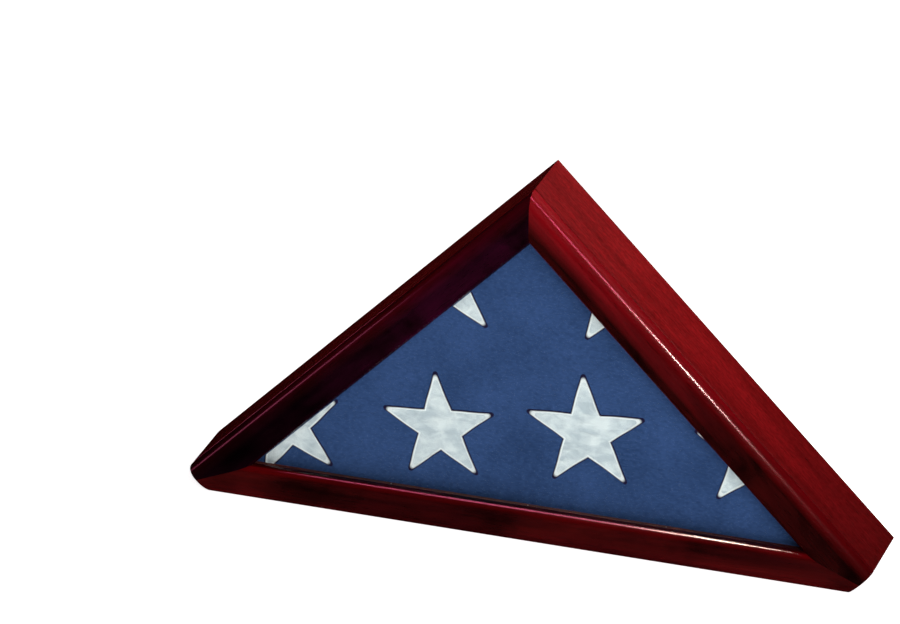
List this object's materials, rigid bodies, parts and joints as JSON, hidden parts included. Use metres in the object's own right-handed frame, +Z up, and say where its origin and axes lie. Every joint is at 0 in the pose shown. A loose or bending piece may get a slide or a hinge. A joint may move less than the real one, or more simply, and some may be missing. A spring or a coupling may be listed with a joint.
{
  "type": "folded flag display case",
  "caption": "Triangular wooden display case with a moulded front frame, a glass front and a hinged back, holding a folded star-field flag.",
  "frame": {"origin": "middle of the underside, on the surface that the case stands on", "axes": "+X to the right along the base, +Y from the front to the hinged back, +Z up to the peak"},
  "size_m": [0.595, 0.0843, 0.3175],
  "materials": {
    "cherry_wood": "dark red cherry stain under a glossy clear lacquer",
    "stop_wood": "stained, not lacquered",
    "plywood": "stained plywood, satin",
    "glass": "clear float glass",
    "flag_cotton": "woven cotton, navy blue",
    "star_cotton": "woven cotton with satin-stitched edges, off white",
    "felt": "black felt",
    "brass": "polished",
    "steel": "plain",
    "magnet": "nickel plated"
  },
  "bodies": {
    "case": {"front_rail_base": "cherry_wood", "front_rail_left": "cherry_wood", "front_rail_right": "cherry_wood", "wall_base": "cherry_wood", "wall_left": "cherry_wood", "wall_right": "cherry_wood", "glazing_stop_base": "stop_wood", "glazing_stop_left": "stop_wood", "glazing_stop_right": "stop_wood", "cleat_base": "stop_wood", "cleat_left": "stop_wood", "cleat_right": "stop_wood", "stop_brads": "steel", "mitre_keys": "cherry_wood", "peak_block": "stop_wood", "tip_block_left": "stop_wood", "tip_block_right": "stop_wood", "catch_magnet": "magnet", "glass_pane": "glass", "folded_flag": "flag_cotton", "flag_stars": "star_cotton", "hinge_leaf_case_left": "brass", "hinge_leaf_case_right": "brass", "hinge_pin_left": "brass", "hinge_pin_right": "brass", "hinge_screws_case": "brass"},
    "back": {"back_panel": "plywood", "felt_lining": "felt", "strike_disc": "steel", "hinge_leaf_panel_left": "brass", "hinge_leaf_panel_right": "brass", "hinge_screws_panel": "brass"}
  },
  "joints": [
    {"name": "back_hinge", "type": "hinge", "parent": "case", "child": "back", "pos_m": [0, 0.0423, 0.01675], "axis": [-1, 0, 0], "range_deg": [0, 90]}
  ]
}
